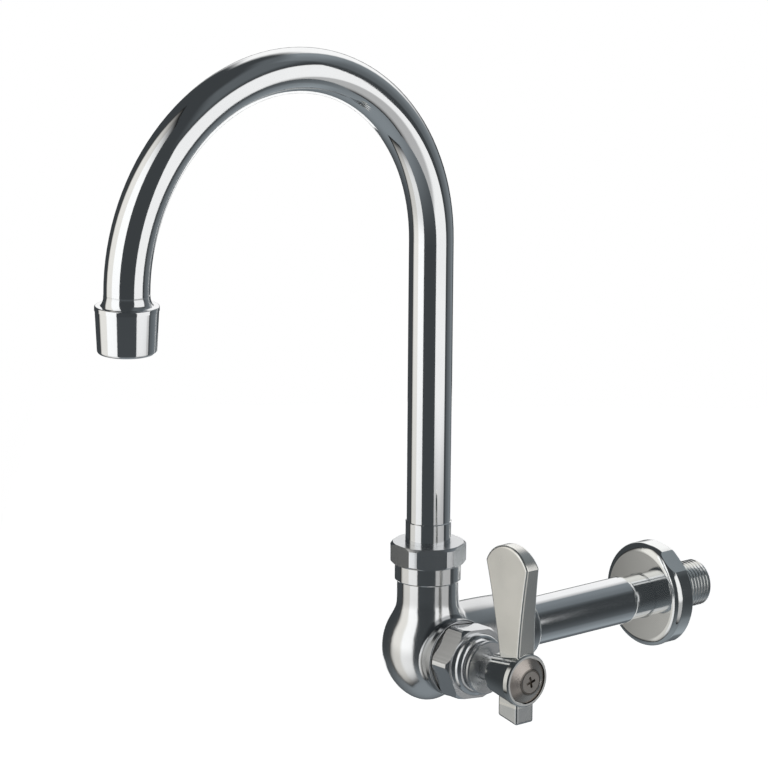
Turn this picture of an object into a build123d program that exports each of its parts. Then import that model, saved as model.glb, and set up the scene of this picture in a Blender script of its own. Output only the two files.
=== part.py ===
"""Single-hole wall faucet with a swivelling gooseneck spout and a quarter-turn lever.

Frame: millimetres, +Z up. The origin is on the shank's axis, in the wall flange's wall face.
The wall is the plane Y = 0 and the faucet stands out from it towards -Y. The lever's side is +X.

Three axes carry the turned pieces:
  the shank's axis   along Y through the origin,
  the riser's axis   along Z, a projection in front of the wall,
  the valve's axis   along X, where the other two meet.
"""
from build123d import *
from math import acos, cos, hypot, radians, sin
import os

os.makedirs("parts", exist_ok=True)

# ---------------------------------------------------------------- driving dimensions
projection = 137.5            # wall face to the riser's axis

# Clearances
running_gap = 0.06            # radial gap where one piece turns in another
end_play = 0.05               # axial gap beside a piece that turns
fixed_gap = 0.03              # radial gap of a screwed or slipped joint

# Gooseneck tube
tube_radius = 9.525           # 3/4 inch tube
tube_wall = 1.25
spigot_radius = 8.6           # necked-down lower end, brazed into the ferrule
spigot_length = 7.0
arch_radius = 82.0            # bend, to the tube's centreline
arch_height = 180.5           # the bend's centre above the shank's axis
outlet_drop = 13.0            # straight tube below the bend

# Swivel: ferrule, washers, O-rings and collar nut
ferrule_radius = 9.95
ferrule_show = 9.5            # ferrule above the nut
ferrule_edge = 0.35
ferrule_flange_radius = 12.3
ferrule_flange_height = 1.5
ferrule_bore = 7.0
barrel_radius = 10.74         # ferrule's lower barrel, in the body
barrel_length = 17.0
washer_thickness = 0.8
washer_gap = 0.35             # radial gap between a washer and what turns beside it
ring_section = 0.78           # O-ring cord radius
ring_groove_height = 1.9
ring_groove_depth = 3.4       # first groove's middle below the ferrule's flange
ring_groove_pitch = 5.2
nut_across_flats = 30.1
nut_corner_radius = 16.4      # the corners are turned down to this radius
nut_turned = 24.8             # a flat's direction, from +X towards +Y
nut_lip = 2.0
nut_chamfer = 1.1
nut_thread_radius = 13.2

# Valve body
bulb_radius = 19.75
bulb_bottom = 23.1            # bulb's lowest point below the valve's axis
bulb_fullness = 0.5           # of the lower half: 0.55 is an ellipse, less is more pointed
shoulder_point = (17.1, 12.1) # bulb's upper side: radius and height
throat_point = (14.4, 17.4)
neck_radius = 13.45
neck_low = 24.0
skirt_radius = 14.5
skirt_bottom = 31.0
skirt_top = 38.6
skirt_edge = 0.6
body_thread_height = 4.0
riser_floor = 24.5            # bottom of the riser's bore
boss_radius = 16.4            # shank boss at its widest
boss_widest = 29.0            # from the riser's axis
boss_start_radius = 15.8
boss_end_radius = 14.4
boss_length = 55.2
boss_edge = 2.8
valve_boss_radius = 15.2      # valve's boss behind its rim
valve_boss_end = 20.9
valve_rim_radius = 16.9
valve_rim_start = 18.3        # end of the rim's sloping flank
valve_rim_flank = 4.8         # the flank's length
valve_rim_edge = 0.6
blend_radius = 2.5            # cast fillet between bulb, neck and shank boss
valve_blend_radius = 2.4      # and round the valve's boss
waterway_radius = 6.0
seat_hole_radius = 4.6
seat_face = 8.0
chamber_radius = 11.2
chamber_depth = 9.0
passage_radius = 3.4
passage_low = (13.5, 9.0)     # slanted outlet passage: x and z of its two ends
passage_high = (4.0, 28.5)

# Shank and wall flange
shank_radius = 10.65          # 1/2 inch nominal pipe
shank_bore = 7.2
shank_depth = 21.0            # screwed into the body's boss
shank_seal_thickness = 1.2
shank_shoulder = 116.8        # end of the full radius, from the riser's axis
shank_edge = 3.0              # rounding of the shoulder's edge
shank_neck_radius = 9.7
shank_neck_depth = 6.5        # neck's length inside the wall flange
flange_radius = 23.7
flange_thickness = 10.2
flange_edge = 3.6             # rounding of the front rim
flange_back_edge = 0.6
flange_mouth_edge = 0.6       # chamfer of the bore round the neck
flange_flats = 45.9           # across the two wrench flats
flange_flat_turned = 51.0     # a flat's direction, from +X towards +Z
flange_ring_section = 0.8     # cord radius of the O-ring in the flange's socket
flange_ring_depth = 2.4       # its middle, from the neck's end
tail_radius = 10.48           # 1/2 inch male thread, major radius
tail_length = 24.7
tail_bore = 6.8
tail_relief = 1.2             # plain undercut behind the flange
tail_chamfer = 1.1

# Screw threads, as (pitch, depth)
pipe_thread = (1.814, 1.0)
collar_thread = (1.25, 0.6)
bonnet_thread = (1.5, 0.8)
crest_width = 0.34
hexagon = 6                   # sides of the collar nut and of the bonnet

# Bonnet, gland and cartridge
bonnet_hex = 30.1             # across flats
bonnet_corner_radius = 16.9   # the corners are turned down to this radius
bonnet_turned = 24.0          # a corner's direction, from +Z towards -Y
bonnet_gasket_thickness = 0.8
bonnet_hex_length = 10.5
bonnet_chamfer = (1.5, 1.0)   # of the hexagon's front, along the axis and inwards
bonnet_back_chamfer = 0.6
bonnet_thread_radius = 12.4
bonnet_barrel_radius = 9.9
bonnet_bore = 8.6
bonnet_ring_radius = 13.6
bonnet_ring_length = 3.7
bonnet_ring_edge = 3.0
stop_radius = 7.2             # inside of the quarter-turn stop
stop_space_radius = 8.2       # outside of the space that the stem's rib sweeps
stop_length = 2.0
stop_angle = 80.0
stop_direction = -90.0        # in the stop's plane, from +Y towards +Z
stop_slack = 1.0              # degrees of play at each end of the travel
port_width = 8.0
port_length = 2.0
packing_seat = 27.5
packing_thickness = 2.4
gland_thread_radius = 8.4
gland_neck_radius = 10.0
gland_neck_length = 1.9
gland_disc_radius = 11.7
gland_disc_length = 2.0
gland_disc_edge = 0.5
seal_thickness = 2.0
seal_width = 1.7
disc_thickness = 2.4
disc_port_radius = 6.8
disc_port_angle = 76.0
tongue_width = 3.2
tongue_depth = 0.9
quarter_turn = 90.0

# Stem and lever
stem_radius = 5.5
stem_flange_thickness = 2.4
stem_square = 7.6
stem_square_length = 9.5
stem_square_edge = 0.95       # rounding of the square's corners
stem_show = 6.6               # stem between the gland and the hub
hub_small_radius = 7.9
hub_radius = 11.5
hub_length = 18.0
hub_heel_radius = 8.9         # where the hub's cone starts, in front of its rounded heel
hub_heel_length = 0.8
hub_cone_length = 15.2        # from the hub's start to the end of its cone
hub_lip = 1.5                 # wall of the rim round the index button
hub_recess = 4.6
hub_edge = 0.6
blade_centre = 57.2           # from the riser's axis
blade_root = (6.0, 9.1)       # half width and height where the blade leaves the hub
blade_waist = (8.6, 27.5)     # and on its hollow sides, halfway up
blade_shoulder = (13.1, 50.6) # and at the tip's corners
blade_corner_radius = 8.0
blade_top = 59.2
blade_root_front = 4.2        # front face's distance before the valve's axis, at the axis
blade_tip_front = 7.0
blade_root_back = 6.2         # back face's distance behind it
blade_tip_back = -0.35
blade_edge = 1.1
tab_half_thickness = 5.0
tab_inner_depth = 17.1
tab_outer_depth = 19.6
tab_edge = 1.2
button_gap = 0.35
button_rim = 0.5              # button's edge below the hub's rim
button_rise = 2.5             # cone, from edge to centre
screw_head_radius = 5.0
screw_head_thickness = 2.2
screw_head_edge = 0.3
screw_proud = 0.1
screw_radius = 2.0
screw_length = 12.5
screw_turned = 13.0
recess_arm_width = 1.2
recess_arm_length = 5.0
recess_depth = 1.7
button_land = 0.35            # button's flat round the screw's head

# Outlet and aerator
outlet_thread_radius = 10.9
outlet_thread_length = 9.0
outlet_flare_height = 4.6     # ring's hollow flare, from its thread up to the tube
outlet_flare_edge = 0.15      # wall left at the flare's thin upper end
outlet_flare_hollow = (0.3, 0.35)  # flare's middle, as parts of its width and height
aerator_drop = 4.7            # aerator's top below the bend's centre
aerator_height = 19.8
aerator_rim_radius = 13.3
aerator_rim_height = 1.9
aerator_rim_edge = 0.6
aerator_top_radius = 13.1
aerator_bottom_radius = 12.2
aerator_edge = 1.3
aerator_mouth_radius = 9.2
aerator_lip = 1.3
insert_radius = 9.9
insert_wall = 1.6
insert_flange_thickness = 1.4
insert_slots = 12
insert_slot_width = 1.2
aerator_washer_thickness = 1.5
screen_thickness = 0.6
screen_hole = 1.0
screen_pitch = 1.5

# ---------------------------------------------------------------- heights and stations
# Up the riser's axis
body_top = skirt_top + body_thread_height
ferrule_flange_low = body_top + washer_thickness + end_play
ferrule_flange_high = ferrule_flange_low + ferrule_flange_height
upper_washer_low = ferrule_flange_high + end_play
nut_lip_low = upper_washer_low + washer_thickness
nut_top = nut_lip_low + nut_lip
ferrule_top = nut_top + ferrule_show
barrel_low = ferrule_flange_low - barrel_length
socket_floor = ferrule_top - spigot_length
riser_bore = barrel_radius + running_gap
ring_mid_radius = barrel_radius - ring_section
ring_levels = [ferrule_flange_low - ring_groove_depth - number * ring_groove_pitch for number in (0, 1)]

# Down the outlet's axis
outlet_end = arch_height - outlet_drop
aerator_top = arch_height - aerator_drop
aerator_bottom = aerator_top - aerator_height
outlet_thread_high = aerator_top - end_play
outlet_thread_low = outlet_thread_high - outlet_thread_length
insert_top = outlet_thread_low - aerator_washer_thickness
insert_ledge = insert_top - insert_flange_thickness
screen_low = aerator_bottom + aerator_lip
insert_low = screen_low + screen_thickness

# Along the shank's axis, from the riser's axis
shank_end = boss_length - shank_depth
flange_front = projection - flange_thickness
shank_neck_end = flange_front + shank_neck_depth
shank_socket = shank_radius + fixed_gap

# Along the valve's axis, from the riser's axis
fixed_disc_start = seat_face + seal_thickness
moving_disc_start = fixed_disc_start + disc_thickness + end_play
stem_flange_start = moving_disc_start + disc_thickness
stem_flange_end = stem_flange_start + stem_flange_thickness
stop_start = stem_flange_end + end_play
stop_end = stop_start + stop_length
bonnet_thread_start = seat_face + chamber_depth
hex_start = valve_boss_end + bonnet_gasket_thickness
hex_end = hex_start + bonnet_hex_length
bonnet_end = hex_end + bonnet_ring_length
gland_start = packing_seat + packing_thickness
gland_neck_end = bonnet_end + gland_neck_length
gland_end = gland_neck_end + gland_disc_length
hub_start = gland_end + stem_show
hub_end = hub_start + hub_length
stem_end = hub_start + stem_square_length
recess_floor = hub_end - hub_recess
button_rim_face = hub_end - button_rim
button_top = button_rim_face + button_rise
screw_face = button_top + screw_proud
screw_seat = screw_face - screw_head_thickness
stem_bore = stem_radius + running_gap
disc_radius = bonnet_bore - running_gap

# ---------------------------------------------------------------- planes, axes and lathe work
RISER = Axis((0, -projection, 0), (0, 0, 1))
VALVE = Axis((0, -projection, 0), (1, 0, 0))
SHANK = Axis((0, -projection, 0), (0, 1, 0))
OUTLET = Axis((0, -projection - 2 * arch_radius, 0), (0, 0, 1))
riser_plane = Plane(origin=(0, -projection, 0), x_dir=(1, 0, 0), z_dir=(0, -1, 0))
shank_plane = Plane(origin=(0, -projection, 0), x_dir=(0, 1, 0), z_dir=(1, 0, 0))
lever_plane = Plane(origin=(blade_centre, -projection, 0), x_dir=(1, 0, 0), z_dir=(0, -1, 0))
outlet_plane = Plane(origin=(0, -projection - 2 * arch_radius, 0), x_dir=(1, 0, 0), z_dir=(0, -1, 0))


def station(x):
    """Upright plane across the valve's axis: its x runs along Y and its y along Z."""
    return Plane(origin=(x, -projection, 0), x_dir=(0, 1, 0), z_dir=(1, 0, 0))


def level(z, plane=riser_plane):
    """Horizontal plane at a height, centred on a vertical axis."""
    return Plane(origin=plane.origin + Vector(0, 0, z), x_dir=(1, 0, 0), z_dir=(0, 0, 1))


def turn_riser(outline, mode=Mode.ADD, plane=riser_plane, axis=RISER):
    """Turn (height, radius) points about the riser's axis."""
    with BuildSketch(plane) as profile:
        with BuildLine():
            Polyline(*[(radius, height) for height, radius in outline], close=True)
        make_face()
    revolve(profile.sketch, axis=axis, mode=mode)


def turn_outlet(outline, mode=Mode.ADD):
    """Turn (height, radius) points about the outlet's axis."""
    turn_riser(outline, mode, outlet_plane, OUTLET)


def turn_valve(outline, mode=Mode.ADD):
    """Turn (station, radius) points about the valve's axis."""
    with BuildSketch(riser_plane) as profile:
        with BuildLine():
            Polyline(*outline, close=True)
        make_face()
    revolve(profile.sketch, axis=VALVE, mode=mode)


def turn_shank(outline, mode=Mode.ADD):
    """Turn (distance from the riser's axis, radius) points about the shank's axis."""
    with BuildSketch(shank_plane) as profile:
        with BuildLine():
            Polyline(*outline, close=True)
        make_face()
    revolve(profile.sketch, axis=SHANK, mode=mode)


def band(start, end, inner, outer):
    """Outline of a plain ring: its two ends along the axis and its two radii."""
    return [(start, inner), (start, outer), (end, outer), (end, inner)]


def thread_grooves(turner, thread, major, start, length):
    """Cut a screw thread's grooves as rings, with flat crests between them."""
    pitch, depth = thread
    groove = pitch - crest_width
    for number in range(int((length - crest_width) / pitch)):
        low = start + crest_width + number * pitch
        middle = low + groove / 2
        high = low + groove
        outside = major + depth
        turner([(low, major), (middle, major - depth), (high, major), (high, outside), (low, outside)],
               Mode.SUBTRACT)


def disc_ports(start, depth, inner, outer, directions):
    """Cut the sector-shaped water ports of a disc."""
    for direction in directions:
        port = sector(station(start), inner, outer, disc_port_angle, direction)
        extrude(port, amount=depth, mode=Mode.SUBTRACT)


def sector(plane, inner, outer, angle, direction):
    """Face of a ring's sector, centred on a direction in its plane."""
    first = radians(direction - angle / 2)
    last = radians(direction + angle / 2)
    with BuildSketch(plane) as wedge:
        with BuildLine():
            CenterArc((0, 0), outer, direction - angle / 2, angle)
            CenterArc((0, 0), inner, direction - angle / 2, angle)
            Line((inner * cos(first), inner * sin(first)), (outer * cos(first), outer * sin(first)))
            Line((inner * cos(last), inner * sin(last)), (outer * cos(last), outer * sin(last)))
        make_face()
    return wedge.sketch


# ================================================================ spout, turning on the riser's axis
# ---------------------------------------------------------------- gooseneck tube
with BuildPart() as spout_tube:
    with BuildLine(shank_plane) as spout_route:
        Line((0, ferrule_top), (0, arch_height))
        CenterArc((-arch_radius, arch_height), arch_radius, 0, 180)
        Line((-2 * arch_radius, arch_height), (-2 * arch_radius, outlet_end))
    with BuildSketch(level(ferrule_top)) as tube_section:
        Circle(tube_radius)
        Circle(tube_radius - tube_wall, mode=Mode.SUBTRACT)
    sweep(path=spout_route.line)
    turn_riser(band(ferrule_top, ferrule_top + tube_wall, spigot_radius - tube_wall, tube_radius))
    turn_riser(band(socket_floor, ferrule_top, spigot_radius - tube_wall, spigot_radius))
spout_tube.part.label = "spout_tube"
export_step(spout_tube.part, "parts/spout_tube.step")

# ---------------------------------------------------------------- ferrule brazed to the tube's foot
with BuildPart() as spout_ferrule:
    socket_radius = spigot_radius + fixed_gap
    turn_riser([
        (barrel_low, ferrule_bore), (barrel_low, barrel_radius),
        (ferrule_flange_low, barrel_radius), (ferrule_flange_low, ferrule_flange_radius),
        (ferrule_flange_high, ferrule_flange_radius), (ferrule_flange_high, ferrule_radius),
        (ferrule_top - ferrule_edge, ferrule_radius), (ferrule_top, ferrule_radius - ferrule_edge),
        (ferrule_top, socket_radius), (socket_floor, socket_radius), (socket_floor, ferrule_bore),
    ])
    for ring_level in ring_levels:
        groove_low = ring_level - ring_groove_height / 2
        turn_riser(band(groove_low, groove_low + ring_groove_height,
                        ring_mid_radius - ring_section, barrel_radius + fixed_gap), Mode.SUBTRACT)
spout_ferrule.part.label = "spout_ferrule"
export_step(spout_ferrule.part, "parts/spout_ferrule.step")

# ---------------------------------------------------------------- O-rings of the swivel
with BuildPart() as swivel_o_rings:
    with Locations(*[(0, -projection, ring_level) for ring_level in ring_levels]):
        Torus(ring_mid_radius, ring_section)
swivel_o_rings.part.label = "swivel_o_rings"
export_step(swivel_o_rings.part, "parts/swivel_o_rings.step")

# ---------------------------------------------------------------- threaded ring brazed to the outlet
with BuildPart() as outlet_thread_ring:
    ring_bore = tube_radius + fixed_gap
    flare_high = outlet_thread_high + outlet_flare_height
    flare_middle = (ring_bore + outlet_flare_hollow[0] * (outlet_thread_radius - ring_bore),
                    outlet_thread_high + outlet_flare_hollow[1] * outlet_flare_height)
    with BuildSketch(outlet_plane):
        with BuildLine():
            Polyline((outlet_thread_radius, outlet_thread_high), (outlet_thread_radius, outlet_thread_low),
                     (tube_radius - tube_wall, outlet_thread_low), (tube_radius - tube_wall, outlet_end),
                     (ring_bore, outlet_end), (ring_bore, flare_high),
                     (ring_bore + outlet_flare_edge, flare_high))
            ThreePointArc((ring_bore + outlet_flare_edge, flare_high), flare_middle,
                          (outlet_thread_radius, outlet_thread_high))
        make_face()
    revolve(axis=OUTLET)
    thread_grooves(turn_outlet, collar_thread, outlet_thread_radius, outlet_thread_low,
                   outlet_thread_length)
outlet_thread_ring.part.label = "outlet_thread_ring"
export_step(outlet_thread_ring.part, "parts/outlet_thread_ring.step")

# ---------------------------------------------------------------- aerator housing
with BuildPart() as aerator_housing:
    thread_bore = outlet_thread_radius + fixed_gap
    rim_low = aerator_top - aerator_rim_height
    turn_outlet([
        (aerator_bottom, aerator_mouth_radius), (aerator_bottom, aerator_bottom_radius),
        (rim_low, aerator_top_radius), (rim_low, aerator_rim_radius), (aerator_top, aerator_rim_radius),
        (aerator_top, thread_bore), (insert_ledge, thread_bore),
        (insert_ledge, insert_radius + fixed_gap), (screen_low, insert_radius + fixed_gap),
        (screen_low, aerator_mouth_radius),
    ])
    bottom_edges = aerator_housing.edges().filter_by(GeomType.CIRCLE).group_by(Axis.Z)[0]
    fillet(bottom_edges.sort_by(SortBy.RADIUS)[-1], aerator_edge)
    top_edges = aerator_housing.edges().filter_by(GeomType.CIRCLE).group_by(Axis.Z)[-1]
    fillet(top_edges.sort_by(SortBy.RADIUS)[-1], aerator_rim_edge)
aerator_housing.part.label = "aerator_housing"
export_step(aerator_housing.part, "parts/aerator_housing.step")

# ---------------------------------------------------------------- what the aerator holds
with BuildPart() as aerator_washer:
    turn_outlet(band(insert_top, outlet_thread_low, tube_radius - tube_wall, outlet_thread_radius))
aerator_washer.part.label = "aerator_washer"
export_step(aerator_washer.part, "parts/aerator_washer.step")

with BuildPart() as aerator_insert:
    turn_outlet(band(insert_ledge, insert_top, insert_radius - insert_wall, outlet_thread_radius))
    turn_outlet(band(insert_low, insert_ledge, insert_radius - insert_wall, insert_radius))
    with BuildSketch(level(insert_low, outlet_plane)):
        with PolarLocations((insert_radius - insert_wall) / 2, insert_slots):
            Rectangle(insert_radius - insert_wall + fixed_gap, insert_slot_width)
        Circle(insert_slot_width * 2)
    extrude(amount=insert_ledge - insert_low)
aerator_insert.part.label = "aerator_insert"
export_step(aerator_insert.part, "parts/aerator_insert.step")

with BuildPart() as aerator_screen:
    with BuildSketch(level(screen_low, outlet_plane)):
        Circle(insert_radius)
        hole_field = aerator_mouth_radius - screen_pitch / 2
        across = int(hole_field / screen_pitch)
        grid = [(column * screen_pitch, row * screen_pitch)
                for column in range(-across, across + 1) for row in range(-across, across + 1)]
        with Locations(*[place for place in grid if hypot(*place) < hole_field]):
            Rectangle(screen_hole, screen_hole, mode=Mode.SUBTRACT)
    extrude(amount=screen_thickness)
aerator_screen.part.label = "aerator_screen"
export_step(aerator_screen.part, "parts/aerator_screen.step")

# ================================================================ body and swivel collar
# ---------------------------------------------------------------- hexagonal collar nut
with BuildPart() as spout_nut:
    with BuildSketch(level(skirt_top)):
        RegularPolygon(nut_across_flats / 2, hexagon, major_radius=False,
                       rotation=nut_turned + 180 / hexagon)
    extrude(amount=nut_top - skirt_top)
    nut_face_radius = nut_corner_radius - nut_chamfer
    turn_riser([
        (skirt_top, 0), (skirt_top, nut_face_radius), (skirt_top + nut_chamfer, nut_corner_radius),
        (nut_top - nut_chamfer, nut_corner_radius), (nut_top, nut_face_radius), (nut_top, 0),
    ], Mode.INTERSECT)
    turn_riser(band(skirt_top, nut_lip_low, 0, nut_thread_radius + fixed_gap), Mode.SUBTRACT)
    turn_riser(band(nut_lip_low, nut_top, 0, ferrule_radius + running_gap), Mode.SUBTRACT)
spout_nut.part.label = "spout_nut"
export_step(spout_nut.part, "parts/spout_nut.step")

# ---------------------------------------------------------------- swivel washers
with BuildPart() as lower_swivel_washer:
    turn_riser(band(body_top, body_top + washer_thickness, barrel_radius + washer_gap,
                    nut_thread_radius - fixed_gap))
lower_swivel_washer.part.label = "lower_swivel_washer"
export_step(lower_swivel_washer.part, "parts/lower_swivel_washer.step")

with BuildPart() as upper_swivel_washer:
    turn_riser(band(upper_washer_low, nut_lip_low, ferrule_radius + washer_gap,
                    nut_thread_radius - fixed_gap))
upper_swivel_washer.part.label = "upper_swivel_washer"
export_step(upper_swivel_washer.part, "parts/upper_swivel_washer.step")

# ---------------------------------------------------------------- hollows of the valve body
with BuildPart() as body_inside:
    # Riser's bore, waterway and socket of the shank
    turn_riser(band(riser_floor, body_top, 0, riser_bore))
    turn_shank(band(-waterway_radius, shank_end, 0, waterway_radius))
    turn_shank(band(shank_end - shank_seal_thickness, boss_length, 0, shank_socket))
    # Seat, cartridge chamber, bonnet's threaded bore and the slanted outlet passage
    turn_valve(band(0, seat_face, 0, seat_hole_radius))
    turn_valve(band(seat_face, bonnet_thread_start, 0, chamber_radius))
    turn_valve(band(bonnet_thread_start, valve_boss_end, 0, bonnet_thread_radius + fixed_gap))
    (low_x, low_z), (high_x, high_z) = passage_low, passage_high
    passage_run = Vector(high_x - low_x, 0, high_z - low_z)
    passage_direction = passage_run.normalized()
    with BuildSketch(Plane(origin=(low_x, -projection, low_z), x_dir=(0, 1, 0), z_dir=passage_direction)):
        Circle(passage_radius)
    extrude(amount=passage_run.length)

# ---------------------------------------------------------------- cast valve body
with BuildPart() as valve_body:
    with BuildSketch(riser_plane):
        with BuildLine():
            Bezier((0, -bulb_bottom), (bulb_fullness * bulb_radius, -bulb_bottom),
                   (bulb_radius, -bulb_fullness * bulb_bottom), (bulb_radius, 0))
            Spline((bulb_radius, 0), shoulder_point, throat_point, (neck_radius, neck_low),
                   tangents=((0, 1), (0, 1)))
            Polyline((neck_radius, neck_low), (neck_radius, skirt_bottom),
                     (skirt_radius - skirt_edge, skirt_bottom), (skirt_radius, skirt_bottom + skirt_edge),
                     (skirt_radius, skirt_top), (nut_thread_radius, skirt_top),
                     (nut_thread_radius, body_top), (0, body_top), (0, -bulb_bottom))
        make_face()
    revolve(axis=RISER)
    with BuildSketch(shank_plane):
        with BuildLine():
            ThreePointArc((0, boss_start_radius), (boss_widest, boss_radius),
                          (boss_length, boss_end_radius))
            Polyline((boss_length, boss_end_radius), (boss_length, 0), (0, 0),
                     (0, boss_start_radius))
        make_face()
    revolve(axis=SHANK)
    fillet(valve_body.edges(Select.NEW), blend_radius)
    with BuildSketch(station(0)):
        Circle(valve_boss_radius)
    extrude(amount=valve_boss_end)
    fillet(valve_body.edges(Select.NEW), valve_blend_radius)
    turn_valve([
        (valve_rim_start - valve_rim_flank, 0), (valve_rim_start - valve_rim_flank, valve_boss_radius),
        (valve_rim_start, valve_rim_radius), (valve_boss_end, valve_rim_radius), (valve_boss_end, 0),
    ])
    boss_rim = valve_body.edges().filter_by(GeomType.CIRCLE).sort_by(Axis.Y)[-1]
    fillet(boss_rim, boss_edge)
    valve_rim = valve_body.edges().filter_by(GeomType.CIRCLE).sort_by(Axis.X)[-1]
    fillet(valve_rim, valve_rim_edge)
    add(body_inside.part, mode=Mode.SUBTRACT)
    thread_grooves(turn_riser, collar_thread, nut_thread_radius, skirt_top, body_thread_height)
valve_body.part.label = "valve_body"
export_step(valve_body.part, "parts/valve_body.step")

# ================================================================ shank and wall flange
# ---------------------------------------------------------------- shank
with BuildPart() as shank_tube:
    shoulder_turn = acos(1 - (shank_radius - shank_neck_radius) / shank_edge)
    shoulder_start = shank_shoulder - shank_edge * sin(shoulder_turn)
    shoulder_middle = (shoulder_start + shank_edge * sin(shoulder_turn / 2),
                       shank_radius - shank_edge * (1 - cos(shoulder_turn / 2)))
    with BuildSketch(shank_plane):
        with BuildLine():
            Polyline((shank_shoulder, shank_neck_radius), (shank_neck_end, shank_neck_radius),
                     (shank_neck_end, shank_bore), (shank_end, shank_bore), (shank_end, shank_radius),
                     (shoulder_start, shank_radius))
            ThreePointArc((shoulder_start, shank_radius), shoulder_middle,
                          (shank_shoulder, shank_neck_radius))
        make_face()
    revolve(axis=SHANK)
shank_tube.part.label = "shank_tube"
export_step(shank_tube.part, "parts/shank_tube.step")

with BuildPart() as shank_seal:
    turn_shank(band(shank_end - shank_seal_thickness, shank_end, shank_bore, shank_radius))
shank_seal.part.label = "shank_seal"
export_step(shank_seal.part, "parts/shank_seal.step")

# ---------------------------------------------------------------- wall flange with its threaded tail
with BuildPart() as inlet_flange:
    neck_socket = shank_neck_radius + fixed_gap
    tail_end = projection + tail_length
    turn_shank([
        (flange_front + flange_mouth_edge, neck_socket), (flange_front, neck_socket + flange_mouth_edge),
        (flange_front, flange_radius), (projection, flange_radius),
        (projection, tail_radius), (tail_end - tail_chamfer, tail_radius),
        (tail_end, tail_radius - tail_chamfer), (tail_end, tail_bore), (shank_neck_end, tail_bore),
        (shank_neck_end, neck_socket),
    ])
    rim_edges = inlet_flange.edges().filter_by(GeomType.CIRCLE).group_by(SortBy.RADIUS)[-1]
    fillet(rim_edges.sort_by(Axis.Y)[0], flange_edge)
    rim_edges = inlet_flange.edges().filter_by(GeomType.CIRCLE).group_by(SortBy.RADIUS)[-1]
    fillet(rim_edges.sort_by(Axis.Y)[-1], flange_back_edge)
    with BuildSketch(Plane.XZ):
        Circle(flange_radius * 2)
        Rectangle(flange_flats, flange_radius * 4, rotation=flange_flat_turned, mode=Mode.SUBTRACT)
    extrude(amount=flange_thickness, mode=Mode.SUBTRACT)
    ring_groove = shank_neck_end - flange_ring_depth - flange_ring_section
    turn_shank(band(ring_groove, ring_groove + 2 * flange_ring_section, neck_socket,
                    shank_neck_radius + 2 * flange_ring_section), Mode.SUBTRACT)
    thread_grooves(turn_shank, pipe_thread, tail_radius, projection + tail_relief,
                   tail_length - tail_relief - tail_chamfer)
inlet_flange.part.label = "inlet_flange"
export_step(inlet_flange.part, "parts/inlet_flange.step")

with BuildPart() as shank_o_ring:
    with Locations(Location((0, ring_groove + flange_ring_section - projection, 0), (90, 0, 0))):
        Torus(shank_neck_radius + flange_ring_section, flange_ring_section)
shank_o_ring.part.label = "shank_o_ring"
export_step(shank_o_ring.part, "parts/shank_o_ring.step")

# ================================================================ cartridge, fixed in the body
# ---------------------------------------------------------------- bonnet
with BuildPart() as valve_bonnet:
    with BuildSketch(station(hex_start)):
        RegularPolygon(bonnet_hex / 2, hexagon, major_radius=False, rotation=90 + bonnet_turned)
    extrude(amount=bonnet_hex_length)
    chamfer_length, chamfer_drop = bonnet_chamfer
    turn_valve([
        (hex_start, 0), (hex_start, bonnet_corner_radius - bonnet_back_chamfer),
        (hex_start + bonnet_back_chamfer, bonnet_corner_radius),
        (hex_end - chamfer_length, bonnet_corner_radius), (hex_end, bonnet_corner_radius - chamfer_drop),
        (hex_end, 0),
    ], Mode.INTERSECT)
    with BuildSketch(station(hex_end)):
        Circle(bonnet_ring_radius)
    extrude(amount=bonnet_ring_length)
    ring_edges = valve_bonnet.edges().filter_by(GeomType.CIRCLE).group_by(Axis.X)[-1]
    fillet(ring_edges.sort_by(SortBy.RADIUS)[-1], bonnet_ring_edge)
    turn_valve(band(bonnet_thread_start + fixed_gap, hex_start, 0, bonnet_thread_radius))
    turn_valve(band(fixed_disc_start, bonnet_thread_start + fixed_gap, 0, bonnet_barrel_radius))
    thread_grooves(turn_valve, bonnet_thread, bonnet_thread_radius, bonnet_thread_start + fixed_gap,
                   valve_boss_end - bonnet_thread_start)
    # Bore for the discs, quarter-turn stop, stem bore and gland socket
    turn_valve(band(fixed_disc_start, stop_start, 0, bonnet_bore), Mode.SUBTRACT)
    stop_space = sector(station(stop_start), stem_radius / 2, stop_space_radius, 360 - stop_angle,
                        stop_direction + 180)
    extrude(stop_space, amount=stop_length, mode=Mode.SUBTRACT)
    turn_valve(band(stop_start, stop_end, 0, stop_radius), Mode.SUBTRACT)
    turn_valve(band(stop_end, packing_seat, 0, stem_bore), Mode.SUBTRACT)
    turn_valve(band(packing_seat, bonnet_end, 0, gland_thread_radius + fixed_gap), Mode.SUBTRACT)
    with BuildSketch(station(stem_flange_start)):
        Rectangle(port_width, 4 * bonnet_thread_radius)
    extrude(amount=port_length, mode=Mode.SUBTRACT)
valve_bonnet.part.label = "valve_bonnet"
export_step(valve_bonnet.part, "parts/valve_bonnet.step")

with BuildPart() as bonnet_gasket:
    turn_valve(band(valve_boss_end, hex_start, bonnet_thread_radius + fixed_gap, bonnet_hex / 2))
bonnet_gasket.part.label = "bonnet_gasket"
export_step(bonnet_gasket.part, "parts/bonnet_gasket.step")

# ---------------------------------------------------------------- seat seal and fixed disc
with BuildPart() as seat_seal:
    turn_valve(band(seat_face, fixed_disc_start, bonnet_bore - seal_width, bonnet_bore))
seat_seal.part.label = "seat_seal"
export_step(seat_seal.part, "parts/seat_seal.step")

with BuildPart() as fixed_ceramic_disc:
    turn_valve(band(fixed_disc_start, fixed_disc_start + disc_thickness, 0, disc_radius))
    disc_ports(fixed_disc_start, disc_thickness, tongue_width / 2, disc_port_radius, (0, 180))
fixed_ceramic_disc.part.label = "fixed_ceramic_disc"
export_step(fixed_ceramic_disc.part, "parts/fixed_ceramic_disc.step")

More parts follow.
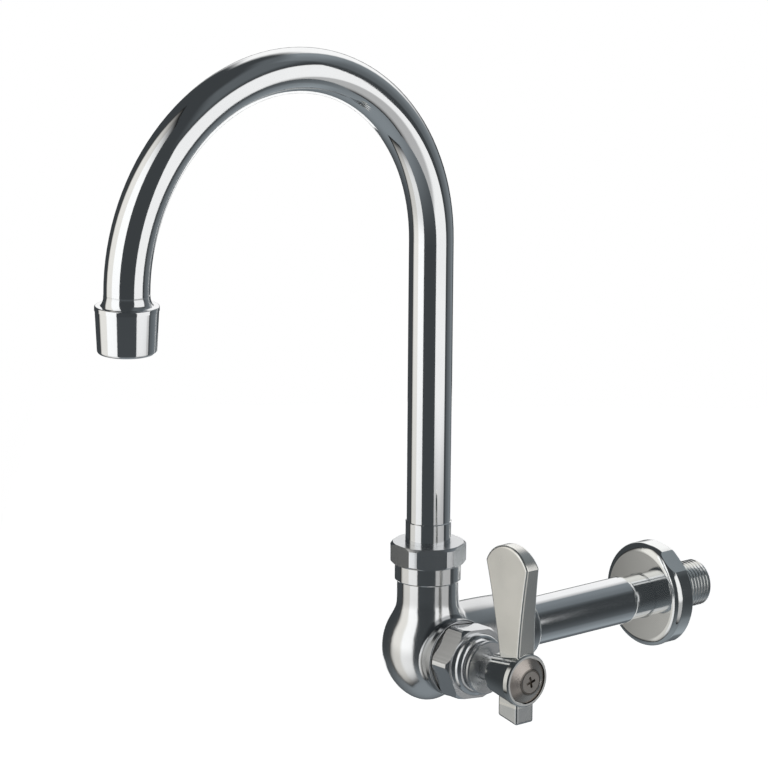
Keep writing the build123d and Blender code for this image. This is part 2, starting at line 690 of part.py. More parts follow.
# ---------------------------------------------------------------- packing and gland nut
with BuildPart() as stem_packing:
    turn_valve(band(packing_seat, gland_start, stem_bore, gland_thread_radius))
stem_packing.part.label = "stem_packing"
export_step(stem_packing.part, "parts/stem_packing.step")

with BuildPart() as gland_nut:
    turn_valve([
        (gland_start, stem_bore), (gland_start, gland_thread_radius), (bonnet_end, gland_thread_radius),
        (bonnet_end, gland_neck_radius), (gland_neck_end, gland_neck_radius),
        (gland_neck_end, gland_disc_radius - gland_disc_edge),
        (gland_neck_end + gland_disc_edge, gland_disc_radius),
        (gland_end - gland_disc_edge, gland_disc_radius), (gland_end, gland_disc_radius - gland_disc_edge),
        (gland_end, stem_bore),
    ])
gland_nut.part.label = "gland_nut"
export_step(gland_nut.part, "parts/gland_nut.step")

# ================================================================ what turns with the lever
# ---------------------------------------------------------------- moving disc
with BuildPart() as moving_ceramic_disc:
    turn_valve(band(moving_disc_start, stem_flange_start, 0, disc_radius))
    disc_ports(moving_disc_start, disc_thickness, tongue_width / 2, disc_port_radius, (90, 270))
    with BuildSketch(station(stem_flange_start - tongue_depth)):
        Rectangle(4 * disc_radius, tongue_width)
    extrude(amount=tongue_depth, mode=Mode.SUBTRACT)
moving_ceramic_disc.part.label = "moving_ceramic_disc"
export_step(moving_ceramic_disc.part, "parts/moving_ceramic_disc.step")

# ---------------------------------------------------------------- stem
with BuildPart() as valve_stem:
    turn_valve(band(stem_flange_start, stem_flange_end, 0, disc_radius))
    disc_ports(stem_flange_start, stem_flange_thickness, stem_radius, 2 * disc_radius, (90, 270))
    with BuildSketch(station(stem_flange_start - tongue_depth)):
        Rectangle(2 * disc_port_radius, tongue_width - 2 * fixed_gap)
    extrude(amount=tongue_depth)
    turn_valve(band(stem_flange_end, hub_start, 0, stem_radius))
    rib_angle = 360 - stop_angle - quarter_turn - 2 * stop_slack
    rib_direction = stop_direction + 180 - quarter_turn / 2
    rib_radius = stop_space_radius - running_gap
    rib = sector(station(stem_flange_end), stem_radius / 2, rib_radius, rib_angle, rib_direction)
    extrude(rib, amount=stop_length)
    with BuildSketch(station(hub_start)):
        RectangleRounded(stem_square, stem_square, stem_square_edge)
    extrude(amount=stem_square_length)
    turn_valve(band(screw_seat - screw_length, stem_end, 0, screw_radius + fixed_gap), Mode.SUBTRACT)
valve_stem.part.label = "valve_stem"
export_step(valve_stem.part, "parts/valve_stem.step")

# ---------------------------------------------------------------- lever's blade, before it joins the hub
with BuildPart() as blade:
    (root_half, root_height), (waist_half, waist_height) = blade_root, blade_waist
    shoulder_half, shoulder_height = blade_shoulder
    with BuildSketch(lever_plane) as blade_outline:
        with BuildLine():
            Polyline((-root_half, root_height), (-root_half, 0), (root_half, 0), (root_half, root_height))
            ThreePointArc((root_half, root_height), (waist_half, waist_height),
                          (shoulder_half, shoulder_height))
            ThreePointArc((shoulder_half, shoulder_height), (0, blade_top),
                          (-shoulder_half, shoulder_height))
            ThreePointArc((-shoulder_half, shoulder_height), (-waist_half, waist_height),
                          (-root_half, root_height))
        make_face()
        shoulders = blade_outline.vertices().filter_by_position(Axis.Z, shoulder_height, blade_top)
        fillet(shoulders, blade_corner_radius)
    extrude(amount=hub_radius, both=True)
    with BuildSketch(station(blade_centre - 2 * shoulder_half)):
        with BuildLine():
            Polyline((-blade_root_front, 0), (blade_root_back, 0), (blade_tip_back, blade_top),
                     (-blade_tip_front, blade_top), close=True)
        make_face()
    extrude(amount=4 * shoulder_half, mode=Mode.INTERSECT)
    front_and_back = blade.faces().sort_by(SortBy.AREA)[-2:]
    outline_edges = front_and_back.edges().filter_by_position(Axis.Z, blade_edge, blade_top)
    fillet(outline_edges, blade_edge)

# ---------------------------------------------------------------- lever's lower tab
with BuildPart() as tab:
    with BuildSketch(lever_plane):
        with BuildLine():
            Polyline((-root_half, 0), (-root_half, -tab_inner_depth), (root_half, -tab_outer_depth),
                     (root_half, 0), close=True)
        make_face()
    extrude(amount=tab_half_thickness, both=True)
    fillet(tab.edges().filter_by_position(Axis.Z, -tab_outer_depth, -tab_edge), tab_edge)

# ---------------------------------------------------------------- lever handle
with BuildPart() as lever_handle:
    with BuildSketch(riser_plane):
        with BuildLine():
            Polyline((hub_start, hub_small_radius), (hub_start + hub_heel_length, hub_heel_radius),
                     (hub_start + hub_cone_length, hub_radius), (hub_end - hub_edge, hub_radius),
                     (hub_end, hub_radius - hub_edge), (hub_end, 0), (hub_start, 0), close=True)
        make_face()
    revolve(axis=VALVE)
    add(blade.part)
    add(tab.part)
    # Square socket for the stem, screw hole and recess for the index button
    with BuildSketch(station(hub_start)):
        socket_width = stem_square + 2 * fixed_gap
        RectangleRounded(socket_width, socket_width, stem_square_edge)
    extrude(amount=stem_square_length, mode=Mode.SUBTRACT)
    turn_valve(band(stem_end, recess_floor, 0, screw_radius + fixed_gap), Mode.SUBTRACT)
    turn_valve(band(recess_floor, hub_end, 0, hub_radius - hub_lip), Mode.SUBTRACT)
lever_handle.part.label = "lever_handle"
export_step(lever_handle.part, "parts/lever_handle.step")

# ---------------------------------------------------------------- index button and handle screw
with BuildPart() as index_button:
    button_radius = hub_radius - hub_lip - button_gap
    turn_valve([
        (recess_floor, screw_radius + fixed_gap), (recess_floor, button_radius),
        (button_rim_face, button_radius), (button_top, screw_head_radius + button_land),
        (button_top, screw_head_radius + fixed_gap), (screw_seat, screw_head_radius + fixed_gap),
        (screw_seat, screw_radius + fixed_gap),
    ])
index_button.part.label = "index_button"
export_step(index_button.part, "parts/index_button.step")

with BuildPart() as handle_screw:
    turn_valve(band(screw_seat - screw_length, screw_seat, 0, screw_radius))
    turn_valve([
        (screw_seat, 0), (screw_seat, screw_head_radius), (screw_face - screw_head_edge, screw_head_radius),
        (screw_face, screw_head_radius - screw_head_edge), (screw_face, 0),
    ])
    with BuildSketch(station(screw_face - recess_depth)):
        Rectangle(recess_arm_length, recess_arm_width, rotation=screw_turned)
        Rectangle(recess_arm_width, recess_arm_length, rotation=screw_turned)
    extrude(amount=recess_depth, mode=Mode.SUBTRACT)
handle_screw.part.label = "handle_screw"
export_step(handle_screw.part, "parts/handle_screw.step")
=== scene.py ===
from math import cos, pi, radians, sin

import bpy
from mathutils import Matrix, Vector

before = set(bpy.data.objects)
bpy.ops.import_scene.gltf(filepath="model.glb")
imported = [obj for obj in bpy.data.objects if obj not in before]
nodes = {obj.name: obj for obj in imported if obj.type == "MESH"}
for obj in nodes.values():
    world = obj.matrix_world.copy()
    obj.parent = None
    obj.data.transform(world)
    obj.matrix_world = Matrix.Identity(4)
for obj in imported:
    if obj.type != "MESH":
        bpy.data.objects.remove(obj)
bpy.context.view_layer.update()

scene = bpy.context.scene
bpy.ops.object.select_all(action="DESELECT")

# ---------------------------------------------------------------- places on the faucet
# Metres in Object coordinates. The origin is the middle of the flange's back. +X points along the valve's
# axis to the lever, -Y from the wall into the room, and +Z up. A pair says where one finish ends and where
# the next is complete.
PROJECTION = 0.1375                # from the wall to the axes of the riser and the valve
NUT_TOP = (0.0468, 0.0476)         # height where the nut's flats end
BULB_TO_NECK = (0.004, 0.030)      # height
BULB_UNDERSIDE = (-0.036, -0.020)  # height
BOSS_START = (0.0120, 0.0135)      # along the valve's axis, from the riser's
BOSS_RADIUS = (0.0172, 0.0182)     # round the valve's axis, just outside the boss's rim
ARM_START = (0.008, 0.020)         # from the riser's axis towards the wall
TAIL_START = (0.0002, 0.0012)      # behind the flange's back
THREAD_RADIUS = (0.0093, 0.0104)   # of the grooves and of the crests
HUB_RADIUS = (0.0116, 0.0121)      # round the valve's axis, just outside the hub
TAB_TOP = (-0.0122, -0.0116)       # height
GROOVE_RADIUS = (0.0050, 0.0058)   # of the button's groove, its inside and its outside
GROOVE_SOFT = 0.0005
LIP_RADIUS = (0.0100, 0.0112)      # of the button's lip

DEGREES = 180 / pi                 # in one radian


# ---------------------------------------------------------------- shader maths
class Wire:
    """A shader socket that takes part in plain arithmetic."""

    def __init__(self, shop, socket):
        self.shop = shop
        self.socket = socket

    def maths(self, operation, *others, clamp=False):
        return self.shop.put("ShaderNodeMath", self, *others,
                             settings={"operation": operation, "use_clamp": clamp})

    def __add__(self, other):
        return self.maths("ADD", other)

    __radd__ = __add__

    def __mul__(self, other):
        return self.maths("MULTIPLY", other)

    __rmul__ = __mul__

    def __sub__(self, other):
        return self.maths("SUBTRACT", other)

    def __rsub__(self, other):
        return (self * -1.0).maths("ADD", other)

    def clipped(self):
        return self.maths("ADD", 0.0, clamp=True)

    def rise(self, start, end):
        """0 before start, 1 after end, a smooth step between them."""
        return self.shop.put("ShaderNodeMapRange", settings={"interpolation_type": "SMOOTHSTEP"},
                             Value=self, From_Min=start, From_Max=end)

    def between(self, low, high, soft):
        """1 between low and high, with edges that are soft wide."""
        reach = soft / 2
        return self.rise(low - reach, low + reach) * (1.0 - self.rise(high - reach, high + reach))


class Shop:
    """The node tree of one material or of the studio's surroundings."""

    def __init__(self, tree):
        self.tree = tree
        tree.nodes.clear()

    def plug(self, port, value):
        """Gives a socket a value or a link."""
        if isinstance(value, Wire):
            self.tree.links.new(value.socket, port)
        elif isinstance(value, tuple) and port.type == "RGBA":
            port.default_value = (*value, 1.0)
        else:
            port.default_value = value

    def put(self, kind, *inputs, settings=None, out=None, **ports):
        """Adds a node and returns the wire that leaves it.

        settings come first, then the node's sockets in their order, then those given by name, with the spaces
        in a name written as _. out names the output, which is otherwise the first one in use.
        """
        node = self.tree.nodes.new(kind)
        for name, value in (settings or {}).items():
            setattr(node, name, value)
        for port, value in zip([port for port in node.inputs if port.enabled], inputs):
            self.plug(port, value)
        for name, value in ports.items():
            self.plug(node.inputs[name.replace("_", " ")], value)
        if out:
            return Wire(self, node.outputs[out])
        outputs = [port for port in node.outputs if port.enabled]
        return Wire(self, outputs[0] if outputs else None)

    def mixed(self, amount, first, second):
        """Blend of two colours."""
        return self.put("ShaderNodeMix", amount, first, second, settings={"data_type": "RGBA"})

    def split(self, vector):
        """The three parts of a vector."""
        first = self.put("ShaderNodeSeparateXYZ", vector)
        return [Wire(self, port) for port in first.socket.node.outputs]

    def place(self):
        return self.put("ShaderNodeTexCoord", out="Object")

    def noise(self, where, scale, detail=2.0, rough=0.5):
        return self.put("ShaderNodeTexNoise", out="Fac", Vector=where, Scale=scale, Detail=detail,
                        Roughness=rough)

    def cloud(self, where, scale, detail, edges):
        """Soft patches: 1 where the noise is above both edges."""
        return self.noise(where, scale, detail, CLOUD_ROUGHNESS).rise(*edges)

    def rays(self):
        """1 for the camera's own rays, and 1 for those seen in metal or through glass."""
        camera_rays = self.put("ShaderNodeLightPath", out="Is Camera Ray")
        kinds = camera_rays.socket.node.outputs
        return camera_rays, Wire(self, kinds["Is Glossy Ray"]) + Wire(self, kinds["Is Transmission Ray"])


def distance(first, second):
    """Length of the line that has these two parts."""
    return (first * first + second * second).maths("SQRT")


# ---------------------------------------------------------------- what all finishes share
CLOUD_ROUGHNESS = 0.6
PATCH_DETAIL = 3.0
PATCH_SCALE = 34.0
PATCH_EDGES = (0.35, 0.7)          # levels of the noise between which the second colour comes in
SMUDGE_EDGES = (0.4, 0.75)
SPECK_SCALE = 420.0
SPECK_ROUGHNESS = 0.55
SPECK_EDGES = (0.62, 0.8)
SPECK_SHARE = 0.5
WAVE_SCALE = 55.0
WAVE_DETAIL = 1.0
WAVE_ROUGHNESS = 0.4
GRAIN_ROUGHNESS = 0.6


def finish(name, colour, second_colour, roughness, smudge, metallic=1.0, wave=0.0, grain=0.0,
           stretch=(1.0, 1.0, 1.0), grain_scale=900.0, relief=None, worn=None, darker_where=None):
    """A plated, turned or moulded finish.

    colour and second_colour blend in soft patches, smudge is how much the roughness varies, wave is the
    height of slow ripples left by polishing and grain that of fine lines, stretched along an axis, in metres.
    relief adds to the height, worn to the roughness, and the last one gives where a darker colour lies and
    which: painted shade on some pieces, real darker tones on others.
    """
    material = bpy.data.materials.new(name)
    material.use_nodes = True
    shop = Shop(material.node_tree)
    where = shop.place()
    patches = shop.noise(where, PATCH_SCALE, PATCH_DETAIL, CLOUD_ROUGHNESS)
    specks = shop.noise(where, SPECK_SCALE, rough=SPECK_ROUGHNESS)
    shade = shop.mixed(patches.rise(*PATCH_EDGES), colour, second_colour)
    spots = specks.rise(*SPECK_EDGES) * SPECK_SHARE + patches.rise(*SMUDGE_EDGES)
    rough = spots * smudge + roughness
    if worn:
        rough = rough + worn(shop, where)
    # The darker colour is painted shade on some pieces and a real darker tone on others
    if darker_where:
        amount, darkening = darker_where(shop, where)
        shade = shop.mixed(amount, shade, darkening)
    height = shop.noise(where, WAVE_SCALE, WAVE_DETAIL, WAVE_ROUGHNESS) * wave
    if grain:
        lines = shop.put("ShaderNodeVectorMath", where, stretch, settings={"operation": "MULTIPLY"})
        height = height + shop.noise(lines, grain_scale, rough=GRAIN_ROUGHNESS) * grain
    if relief:
        height = height + relief(shop, where)
    bump = shop.put("ShaderNodeBump", Height=height, Strength=1.0, Distance=1.0)
    shader = shop.put("ShaderNodeBsdfPrincipled", Base_Color=shade, Metallic=metallic,
                      Roughness=rough.clipped(), Normal=bump)
    shop.put("ShaderNodeOutputMaterial", Surface=shader)
    return material


def turned_about_valve(spacing, height):
    """Fine turning marks round the valve's axis, as bump."""
    def marks(shop, where):
        x, y, z = shop.split(where)
        return (distance(y + PROJECTION, z) * (2 * pi / spacing)).maths("SINE") * height
    return marks


def turned_about_shank(spacing, height):
    """Fine turning marks round the shank's axis, as bump."""
    def marks(shop, where):
        x, y, z = shop.split(where)
        return (distance(x, z) * (2 * pi / spacing)).maths("SINE") * height
    return marks


# ---------------------------------------------------------------- where a finish changes over a piece
# Roughness added, and how much of the darker colour lies on each place: painted shade on some, real darker
# tones on others
NUT_TOP_ROUGHNESS = 0.04
# Painted shade on the nut's turned top, and its grey
NUT_TOP_SHADE = 0.75
NUT_SHADE_COLOUR = (0.62, 0.63, 0.64)
BULB_ROUGHNESS = 0.06
# Painted shade under the bulb
UNDERSIDE_SHADE = 0.15
CAST_CLOUD = (26.0, 2.0, (0.38, 0.68))    # scale, detail and edges
CAST_CLOUD_STAIN = 0.12
# Painted shade round the valve's boss, over the rim's flank
BOSS_SHADE = 0.8
ARM_DARKENING = 0.3
CAST_DARK_COLOUR = (0.38, 0.39, 0.40)
TAIL_ROUGHNESS = 0.06
# Painted shade on the threaded tail: a trace on the crests, most in the grooves
CREST_SHADE = 0.02
GROOVE_SHADE = 0.5
THREAD_SHADE_COLOUR = (0.30, 0.30, 0.30)
HUB_ROUGHNESS = -0.14
LEVER_CLOUD = (60.0, 3.0, (0.35, 0.75))
LEVER_CLOUD_STAIN = 0.2
TAB_STAIN = 0.75
HUB_STAIN = 0.45
LEVER_STAIN_COLOUR = (0.60, 0.62, 0.63)
# Painted shade in the button's groove, and a darker colour towards its lip
BUTTON_GROOVE_SHADE = 0.85
BUTTON_LIP_DARKENING = 0.55
BUTTON_DARK_COLOUR = (0.16, 0.145, 0.13)


def nut_top(shop, where):
    """1 on the nut's turned top, 0 on its flats."""
    x, y, z = shop.split(where)
    return z.rise(*NUT_TOP)


def nut_worn(shop, where):
    return nut_top(shop, where) * NUT_TOP_ROUGHNESS


def nut_top_shade(shop, where):
    """Painted shade: the turned top's colour is greyer than the flats', standing in for a dimmer reflection
    than the white paper gives.
    """
    return nut_top(shop, where) * NUT_TOP_SHADE, NUT_SHADE_COLOUR


def cast_worn(shop, where):
    """The bulb is less polished than the neck."""
    x, y, z = shop.split(where)
    return (1.0 - z.rise(*BULB_TO_NECK)) * BULB_ROUGHNESS


def cast_darkened(shop, where):
    """Painted shade under the bulb and round the valve's boss, soft random patches, and a darker colour along
    the arm to the shank.
    """
    x, y, z = shop.split(where)
    across = y + PROJECTION
    cloud = shop.cloud(where, *CAST_CLOUD)
    underside = 1.0 - z.rise(*BULB_UNDERSIDE)
    boss = x.rise(*BOSS_START) * (1.0 - distance(across, z).rise(*BOSS_RADIUS))
    arm = across.rise(*ARM_START)
    # Painted shade under the bulb and round the boss, with random patches and the arm's darker colour
    darkening = underside * UNDERSIDE_SHADE + cloud * CAST_CLOUD_STAIN + boss * BOSS_SHADE + arm * ARM_DARKENING
    return darkening.clipped(), CAST_DARK_COLOUR


def tail(shop, where):
    """1 on the wall flange's threaded tail."""
    x, y, z = shop.split(where)
    return y.rise(*TAIL_START)


def flange_worn(shop, where):
    return tail(shop, where) * TAIL_ROUGHNESS


def flange_thread_shade(shop, where):
    """Painted shade in the thread's grooves, so that the crests stand out bright."""
    x, y, z = shop.split(where)
    depth = 1.0 - distance(x, z).rise(*THREAD_RADIUS)
    return tail(shop, where) * (CREST_SHADE + GROOVE_SHADE * depth), THREAD_SHADE_COLOUR


def hub(shop, where):
    """1 on the lever's turned hub, 0 on its blade and tab."""
    x, y, z = shop.split(where)
    return 1.0 - distance(y + PROJECTION, z).rise(*HUB_RADIUS)


def lever_worn(shop, where):
    """The hub is polished, the blade and the tab are satin."""
    return hub(shop, where) * HUB_ROUGHNESS


def lever_stained(shop, where):
    """The satin is cloudy, and the tab and the hub are greyer than the blade."""
    x, y, z = shop.split(where)
    cloud = shop.cloud(where, *LEVER_CLOUD)
    tab = 1.0 - z.rise(*TAB_TOP)
    darkening = cloud * LEVER_CLOUD_STAIN + tab * TAB_STAIN + hub(shop, where) * HUB_STAIN
    return darkening.clipped(), LEVER_STAIN_COLOUR


def button_darkened(shop, where):
    """Painted shade as a dark line in the groove round the screw, and a darker colour towards the lip."""
    x, y, z = shop.split(where)
    radius = distance(y + PROJECTION, z)
    groove = radius.between(*GROOVE_RADIUS, GROOVE_SOFT)
    lip = radius.rise(*LIP_RADIUS)
    return (groove * BUTTON_GROOVE_SHADE + lip * BUTTON_LIP_DARKENING).clipped(), BUTTON_DARK_COLOUR


# ---------------------------------------------------------------- finishes
spout_chrome = finish(
    "spout_chrome", colour=(0.92, 0.925, 0.925), second_colour=(0.89, 0.895, 0.90), roughness=0.065,
    smudge=0.02, wave=4e-6)
# The nut's turned top carries painted shade
nut_chrome = finish(
    "nut_chrome", colour=(0.88, 0.89, 0.90), second_colour=(0.80, 0.81, 0.82), roughness=0.20, smudge=0.05,
    wave=3e-6, grain=4e-6, stretch=(1.0, 1.0, 0.12), worn=nut_worn, darker_where=nut_top_shade)
# The cast body carries painted shade under the bulb and round the boss
cast_chrome = finish(
    "cast_chrome", colour=(0.95, 0.95, 0.945), second_colour=(0.91, 0.91, 0.91), roughness=0.10, smudge=0.04,
    wave=1.2e-5, grain=2e-6, grain_scale=700.0, worn=cast_worn, darker_where=cast_darkened)
bonnet_chrome = finish(
    "bonnet_chrome", colour=(0.85, 0.86, 0.87), second_colour=(0.78, 0.79, 0.80), roughness=0.13, smudge=0.05,
    wave=5e-6, relief=turned_about_valve(spacing=0.0006, height=1.2e-6))
shank_chrome = finish(
    "shank_chrome", colour=(0.88, 0.885, 0.89), second_colour=(0.85, 0.86, 0.87), roughness=0.07, smudge=0.03,
    wave=5e-6)
# The flange's thread carries painted shade in its grooves
flange_chrome = finish(
    "flange_chrome", colour=(0.94, 0.95, 0.94), second_colour=(0.89, 0.90, 0.89), roughness=0.08, smudge=0.04,
    wave=4e-6, relief=turned_about_shank(spacing=0.0007, height=1e-6), worn=flange_worn,
    darker_where=flange_thread_shade)
turned_chrome = finish(
    "turned_chrome", colour=(0.72, 0.73, 0.74), second_colour=(0.64, 0.65, 0.66), roughness=0.24, smudge=0.06,
    wave=3e-6, relief=turned_about_valve(spacing=0.0006, height=2e-6))
lever_chrome = finish(
    "lever_chrome", colour=(0.93, 0.92, 0.88), second_colour=(0.88, 0.87, 0.83), roughness=0.22, smudge=0.05,
    wave=6e-6, grain=2e-6, stretch=(1.0, 1.0, 0.08), worn=lever_worn, darker_where=lever_stained)
# The button carries painted shade in its groove round the screw
button_metal = finish(
    "button_metal", colour=(0.56, 0.51, 0.47), second_colour=(0.47, 0.42, 0.38), roughness=0.27, smudge=0.08,
    relief=turned_about_valve(spacing=0.0005, height=2.5e-6), darker_where=button_darkened)
screw_steel = finish(
    "screw_steel", colour=(0.46, 0.43, 0.40), second_colour=(0.36, 0.33, 0.31), roughness=0.32, smudge=0.1,
    relief=turned_about_valve(spacing=0.0005, height=3e-6))
stem_nickel = finish(
    "stem_nickel", colour=(0.92, 0.92, 0.91), second_colour=(0.86, 0.86, 0.85), roughness=0.24, smudge=0.06,
    grain=1e-6, stretch=(8.0, 1.0, 1.0))
black_rubber = finish(
    "black_rubber", colour=(0.035, 0.035, 0.036), second_colour=(0.05, 0.05, 0.05), roughness=0.55,
    smudge=0.15, metallic=0.0, grain=1e-5)
grey_fibre = finish(
    "grey_fibre", colour=(0.34, 0.33, 0.31), second_colour=(0.27, 0.26, 0.25), roughness=0.60, smudge=0.15,
    metallic=0.0, grain=8e-6)
white_nylon = finish(
    "white_nylon", colour=(0.84, 0.83, 0.78), second_colour=(0.78, 0.77, 0.72), roughness=0.40, smudge=0.12,
    metallic=0.0, grain=6e-6)
aerator_plastic = finish(
    "aerator_plastic", colour=(0.72, 0.72, 0.69), second_colour=(0.66, 0.66, 0.63), roughness=0.36,
    smudge=0.1, metallic=0.0, grain=5e-6)
screen_steel = finish(
    "screen_steel", colour=(0.66, 0.66, 0.65), second_colour=(0.56, 0.56, 0.55), roughness=0.25, smudge=0.1,
    grain=8e-6)
ceramic = finish(
    "ceramic", colour=(0.86, 0.85, 0.81), second_colour=(0.82, 0.81, 0.77), roughness=0.22, smudge=0.08,
    metallic=0.0, grain=2e-6)

pieces_in = {
    spout_chrome: ["spout_tube", "spout_ferrule", "outlet_thread_ring", "aerator_housing"],
    nut_chrome: ["spout_nut"],
    cast_chrome: ["valve_body"],
    bonnet_chrome: ["valve_bonnet"],
    shank_chrome: ["shank_tube"],
    flange_chrome: ["inlet_flange"],
    turned_chrome: ["gland_nut"],
    lever_chrome: ["lever_handle"],
    button_metal: ["index_button"],
    screw_steel: ["handle_screw"],
    stem_nickel: ["valve_stem"],
    black_rubber: ["swivel_o_rings", "aerator_washer", "seat_seal", "shank_seal", "shank_o_ring"],
    grey_fibre: ["bonnet_gasket"],
    white_nylon: ["lower_swivel_washer", "upper_swivel_washer", "stem_packing"],
    aerator_plastic: ["aerator_insert"],
    screen_steel: ["aerator_screen"],
    ceramic: ["fixed_ceramic_disc", "moving_ceramic_disc"],
}
for material, names in pieces_in.items():
    for name in names:
        piece = nodes[name]
        if not piece.material_slots:
            piece.data.materials.append(material)
        for slot in piece.material_slots:
            slot.material = material

# ---------------------------------------------------------------- studio: surroundings
# White paper behind the object, a grey wall beside it, and a dim room elsewhere. Each patch is given as where
# it starts, where it ends and how soft its edges are, in degrees: first round the object, from +X towards +Y,
# then above the horizon.
PAPER = ((103, 150, 10), (4, 47, 16))
GREY_WALL = ((57, 106, 8), (-60, 52, 12))
CEILING = ((-5, 100, 30), (33, 68, 14))
GROUND_EDGES = (-80, -8)           # it gets lighter from the horizon down
ROOM_LEVEL = 0.052
WALL_LEVEL = 0.07
WALL_GAIN = 0.10                   # added towards the paper
WALL_GAIN_EDGES = (60, 100)
CEILING_LEVEL = 0.07
GROUND_LEVEL = 0.20
RED_SHARE = 0.89                   # the room is slightly blue
BLUE_SHARE = 1.08
WHITE = (1.0, 1.0, 1.0)

world = bpy.data.worlds.new("studio")
world.use_nodes = True
scene.world = world
room = Shop(world.node_tree)
x, y, z = room.split(room.put("ShaderNodeTexCoord", out="Generated"))
round_it = y.maths("ARCTAN2", x) * DEGREES
above = z.maths("ARCSINE") * DEGREES
paper, grey_wall, ceiling = [round_it.between(*across) * above.between(*upwards)
                             for across, upwards in (PAPER, GREY_WALL, CEILING)]
ground = 1.0 - above.rise(*GROUND_EDGES)
wall_level = WALL_LEVEL + WALL_GAIN * round_it.rise(*WALL_GAIN_EDGES)
dim = ROOM_LEVEL + grey_wall * wall_level + ceiling * CEILING_LEVEL + ground * GROUND_LEVEL
surround = room.put("ShaderNodeCombineXYZ", dim * RED_SHARE, dim, dim * BLUE_SHARE)
camera_rays, other_rays = room.rays()
white = (camera_rays + other_rays * paper).clipped()
backdrop = room.put("ShaderNodeBackground", Color=WHITE, Strength=1.0)
walls = room.put("ShaderNodeBackground", Color=surround, Strength=1.0)
room.put("ShaderNodeOutputWorld", Surface=room.put("ShaderNodeMixShader", white, walls, backdrop))

# ---------------------------------------------------------------- studio: soft boxes
# Their heights in metres: where the light comes in from below, each with its share of the level, and where it
# goes out above. Directions are in degrees from the riser, and distances from it in metres.
WINDOW_RISES = ((-2.0, -0.5, 0.74), (-0.24, 0.02, 0.26))
WINDOW_FALLS = (0.6, 1.9)
WINDOW_DISTANCE = 0.85
WINDOW_MIDDLE = (-111, 0.735)      # direction and distance
WINDOW_LEFT = -150
WINDOW_RIGHT = (-79.5, -77)        # at its foot and at its head
WINDOW_FADE = (-149, -137, -1.5)   # its light starts, is full, and how they turn per metre of height
WARM_WHITE = (1.0, 0.985, 0.94)
WARM_LEVEL = 0.84
COOL_WHITE = (0.985, 0.995, 1.0)
COOL_LEVEL = 1.09
SCREEN_FOOT = ((-16, 0.76), (36, 0.84))
SCREEN_HEAD = ((-14, 0.76), (47, 0.86))
SCREEN_RISES = ((-1.0, -0.45, 0.5), (-0.15, -0.06, 0.5))
SCREEN_FALLS = (0.56, 0.64)
SCREEN_WHITE = (0.99, 0.995, 1.0)
SCREEN_LEVEL = 0.93


def from_riser(direction, distance_to_it):
    """A point of the plan, seen from the riser in that direction."""
    return (distance_to_it * cos(radians(direction)), -PROJECTION + distance_to_it * sin(radians(direction)))


def stage(piece, material):
    """Gives a piece of the studio its material, and leaves nothing selected."""
    piece.data.materials.append(material)
    bpy.ops.object.select_all(action="DESELECT")


def soft_box(name, foot, head, colour, level, rises, falls, fade=None):
    """A lit screen on the side that faces the riser.

    foot and head are the plan's points of its left and right corners, and rises and falls are its heights.
    fade gives the directions where its light starts and is full, and how they turn with the height.
    """
    bpy.ops.mesh.primitive_plane_add(size=1.0)
    screen = bpy.context.object
    screen.name = name
    bottom, top = rises[0][0], falls[1]
    corners = {(False, False): (*foot[0], bottom), (True, False): (*foot[1], bottom),
               (False, True): (*head[0], top), (True, True): (*head[1], top)}
    for vertex in screen.data.vertices:
        vertex.co = corners[vertex.co.x > 0, vertex.co.y > 0]
    material = bpy.data.materials.new(name)
    material.use_nodes = True
    shop = Shop(material.node_tree)
    plan_x, plan_y, height = shop.split(shop.place())
    glow = sum(height.rise(start, end) * share for start, end, share in rises)
    glow = glow * (1.0 - height.rise(*falls)) * level
    if fade:
        start, full, lean = fade
        direction = (plan_y + PROJECTION).maths("ARCTAN2", plan_x) * DEGREES
        glow = glow * (direction - height * lean).rise(start, full)
    shop.put("ShaderNodeOutputMaterial",
             Surface=shop.put("ShaderNodeEmission", Color=colour, Strength=glow))
    screen.visible_camera = False
    screen.visible_shadow = False
    stage(screen, material)


window_left = from_riser(WINDOW_LEFT, WINDOW_DISTANCE)
window_middle = from_riser(*WINDOW_MIDDLE)
soft_box("window_warm", (window_left, window_middle), (window_left, window_middle), WARM_WHITE, WARM_LEVEL,
         WINDOW_RISES, WINDOW_FALLS, WINDOW_FADE)
window_foot, window_head = [from_riser(direction, WINDOW_DISTANCE) for direction in WINDOW_RIGHT]
soft_box("window_bright", (window_middle, window_foot), (window_middle, window_head), COOL_WHITE, COOL_LEVEL,
         WINDOW_RISES, WINDOW_FALLS)
screen_foot, screen_head = [[from_riser(*corner) for corner in corners]
                            for corners in (SCREEN_FOOT, SCREEN_HEAD)]
soft_box("side_screen", screen_foot, screen_head, SCREEN_WHITE, SCREEN_LEVEL, SCREEN_RISES, SCREEN_FALLS)

# ---------------------------------------------------------------- studio: floor
# Metres from the riser's foot: away from the camera, to its right, and up
FLOOR_ALONG = (0.41, 1.3)
FLOOR_BESIDE = (-0.26, 0.42)
FLOOR_HEIGHT = -0.22
FLOOR_AWAY = Vector((-0.755, 0.656, 0.0))     # the plan's direction away from the camera
FLOOR_ASIDE = Vector((0.656, 0.755, 0.0))     # and the one to its right
FLOOR_GREYS = ((0.86, 0.86, 0.86), (0.9, 0.9, 0.9))
FLOOR_PATCH_SCALE = 3.0
FLOOR_GLOW = 0.93

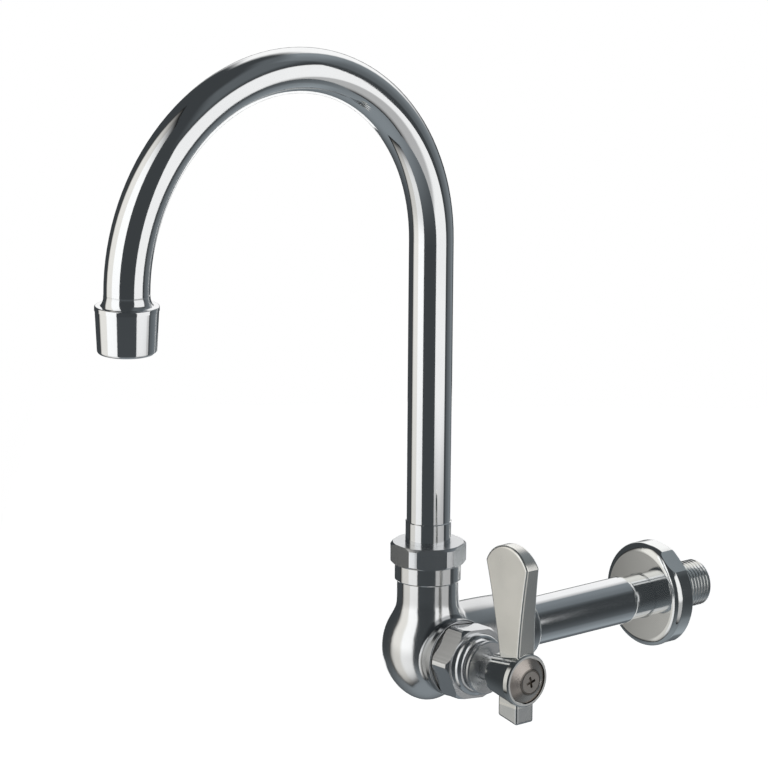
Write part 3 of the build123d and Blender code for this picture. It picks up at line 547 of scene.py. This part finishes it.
bpy.ops.mesh.primitive_plane_add(size=1.0)
floor = bpy.context.object
floor.name = "studio_floor"
for vertex in floor.data.vertices:
    along = FLOOR_ALONG[vertex.co.x > 0]
    beside = FLOOR_BESIDE[vertex.co.y > 0]
    vertex.co = Vector((0, -PROJECTION, FLOOR_HEIGHT)) + FLOOR_AWAY * along + FLOOR_ASIDE * beside
floor.data.update()
floor_paint = bpy.data.materials.new("floor_paint")
floor_paint.use_nodes = True
shop = Shop(floor_paint.node_tree)
camera_rays, other_rays = shop.rays()
shown = (camera_rays + other_rays).clipped()
paint = shop.put("ShaderNodeBsdfDiffuse",
                 Color=shop.mixed(shop.noise(shop.place(), FLOOR_PATCH_SCALE), *FLOOR_GREYS))
glow = shop.put("ShaderNodeEmission", Color=WHITE, Strength=shown * FLOOR_GLOW)
shop.put("ShaderNodeOutputMaterial", Surface=shop.put("ShaderNodeAddShader", paint, glow))
stage(floor, floor_paint)

# ---------------------------------------------------------------- camera
CAMERA_PLACE = (1.5968, -1.5491, 0.6443)
CAMERA_TURN = radians(49.05)       # to the right of the object's front
CAMERA_TILT = radians(13.89)       # above the horizon
CAMERA_ROLL = radians(0.45)
IMAGE_PIXELS = 768
FOCAL_PIXELS = 5134.7
SENSOR = 36.0                      # millimetres
NEAREST = 0.05                     # metres

back = Vector((sin(CAMERA_TURN) * cos(CAMERA_TILT), -cos(CAMERA_TURN) * cos(CAMERA_TILT), sin(CAMERA_TILT)))
side = Vector((cos(CAMERA_TURN), sin(CAMERA_TURN), 0.0))
up = back.cross(side)
camera_right = cos(CAMERA_ROLL) * side + sin(CAMERA_ROLL) * up
camera_up = cos(CAMERA_ROLL) * up - sin(CAMERA_ROLL) * side
camera_data = bpy.data.cameras.new("camera")
camera_data.sensor_width = SENSOR
camera_data.lens = FOCAL_PIXELS / IMAGE_PIXELS * SENSOR
camera_data.clip_start = NEAREST
camera = bpy.data.objects.new("camera", camera_data)
scene.collection.objects.link(camera)
turned = Matrix((camera_right, camera_up, back)).transposed().to_4x4()
camera.matrix_world = Matrix.Translation(CAMERA_PLACE) @ turned
scene.camera = camera
scene.view_settings.view_transform = "Standard"

bpy.context.view_layer.update()
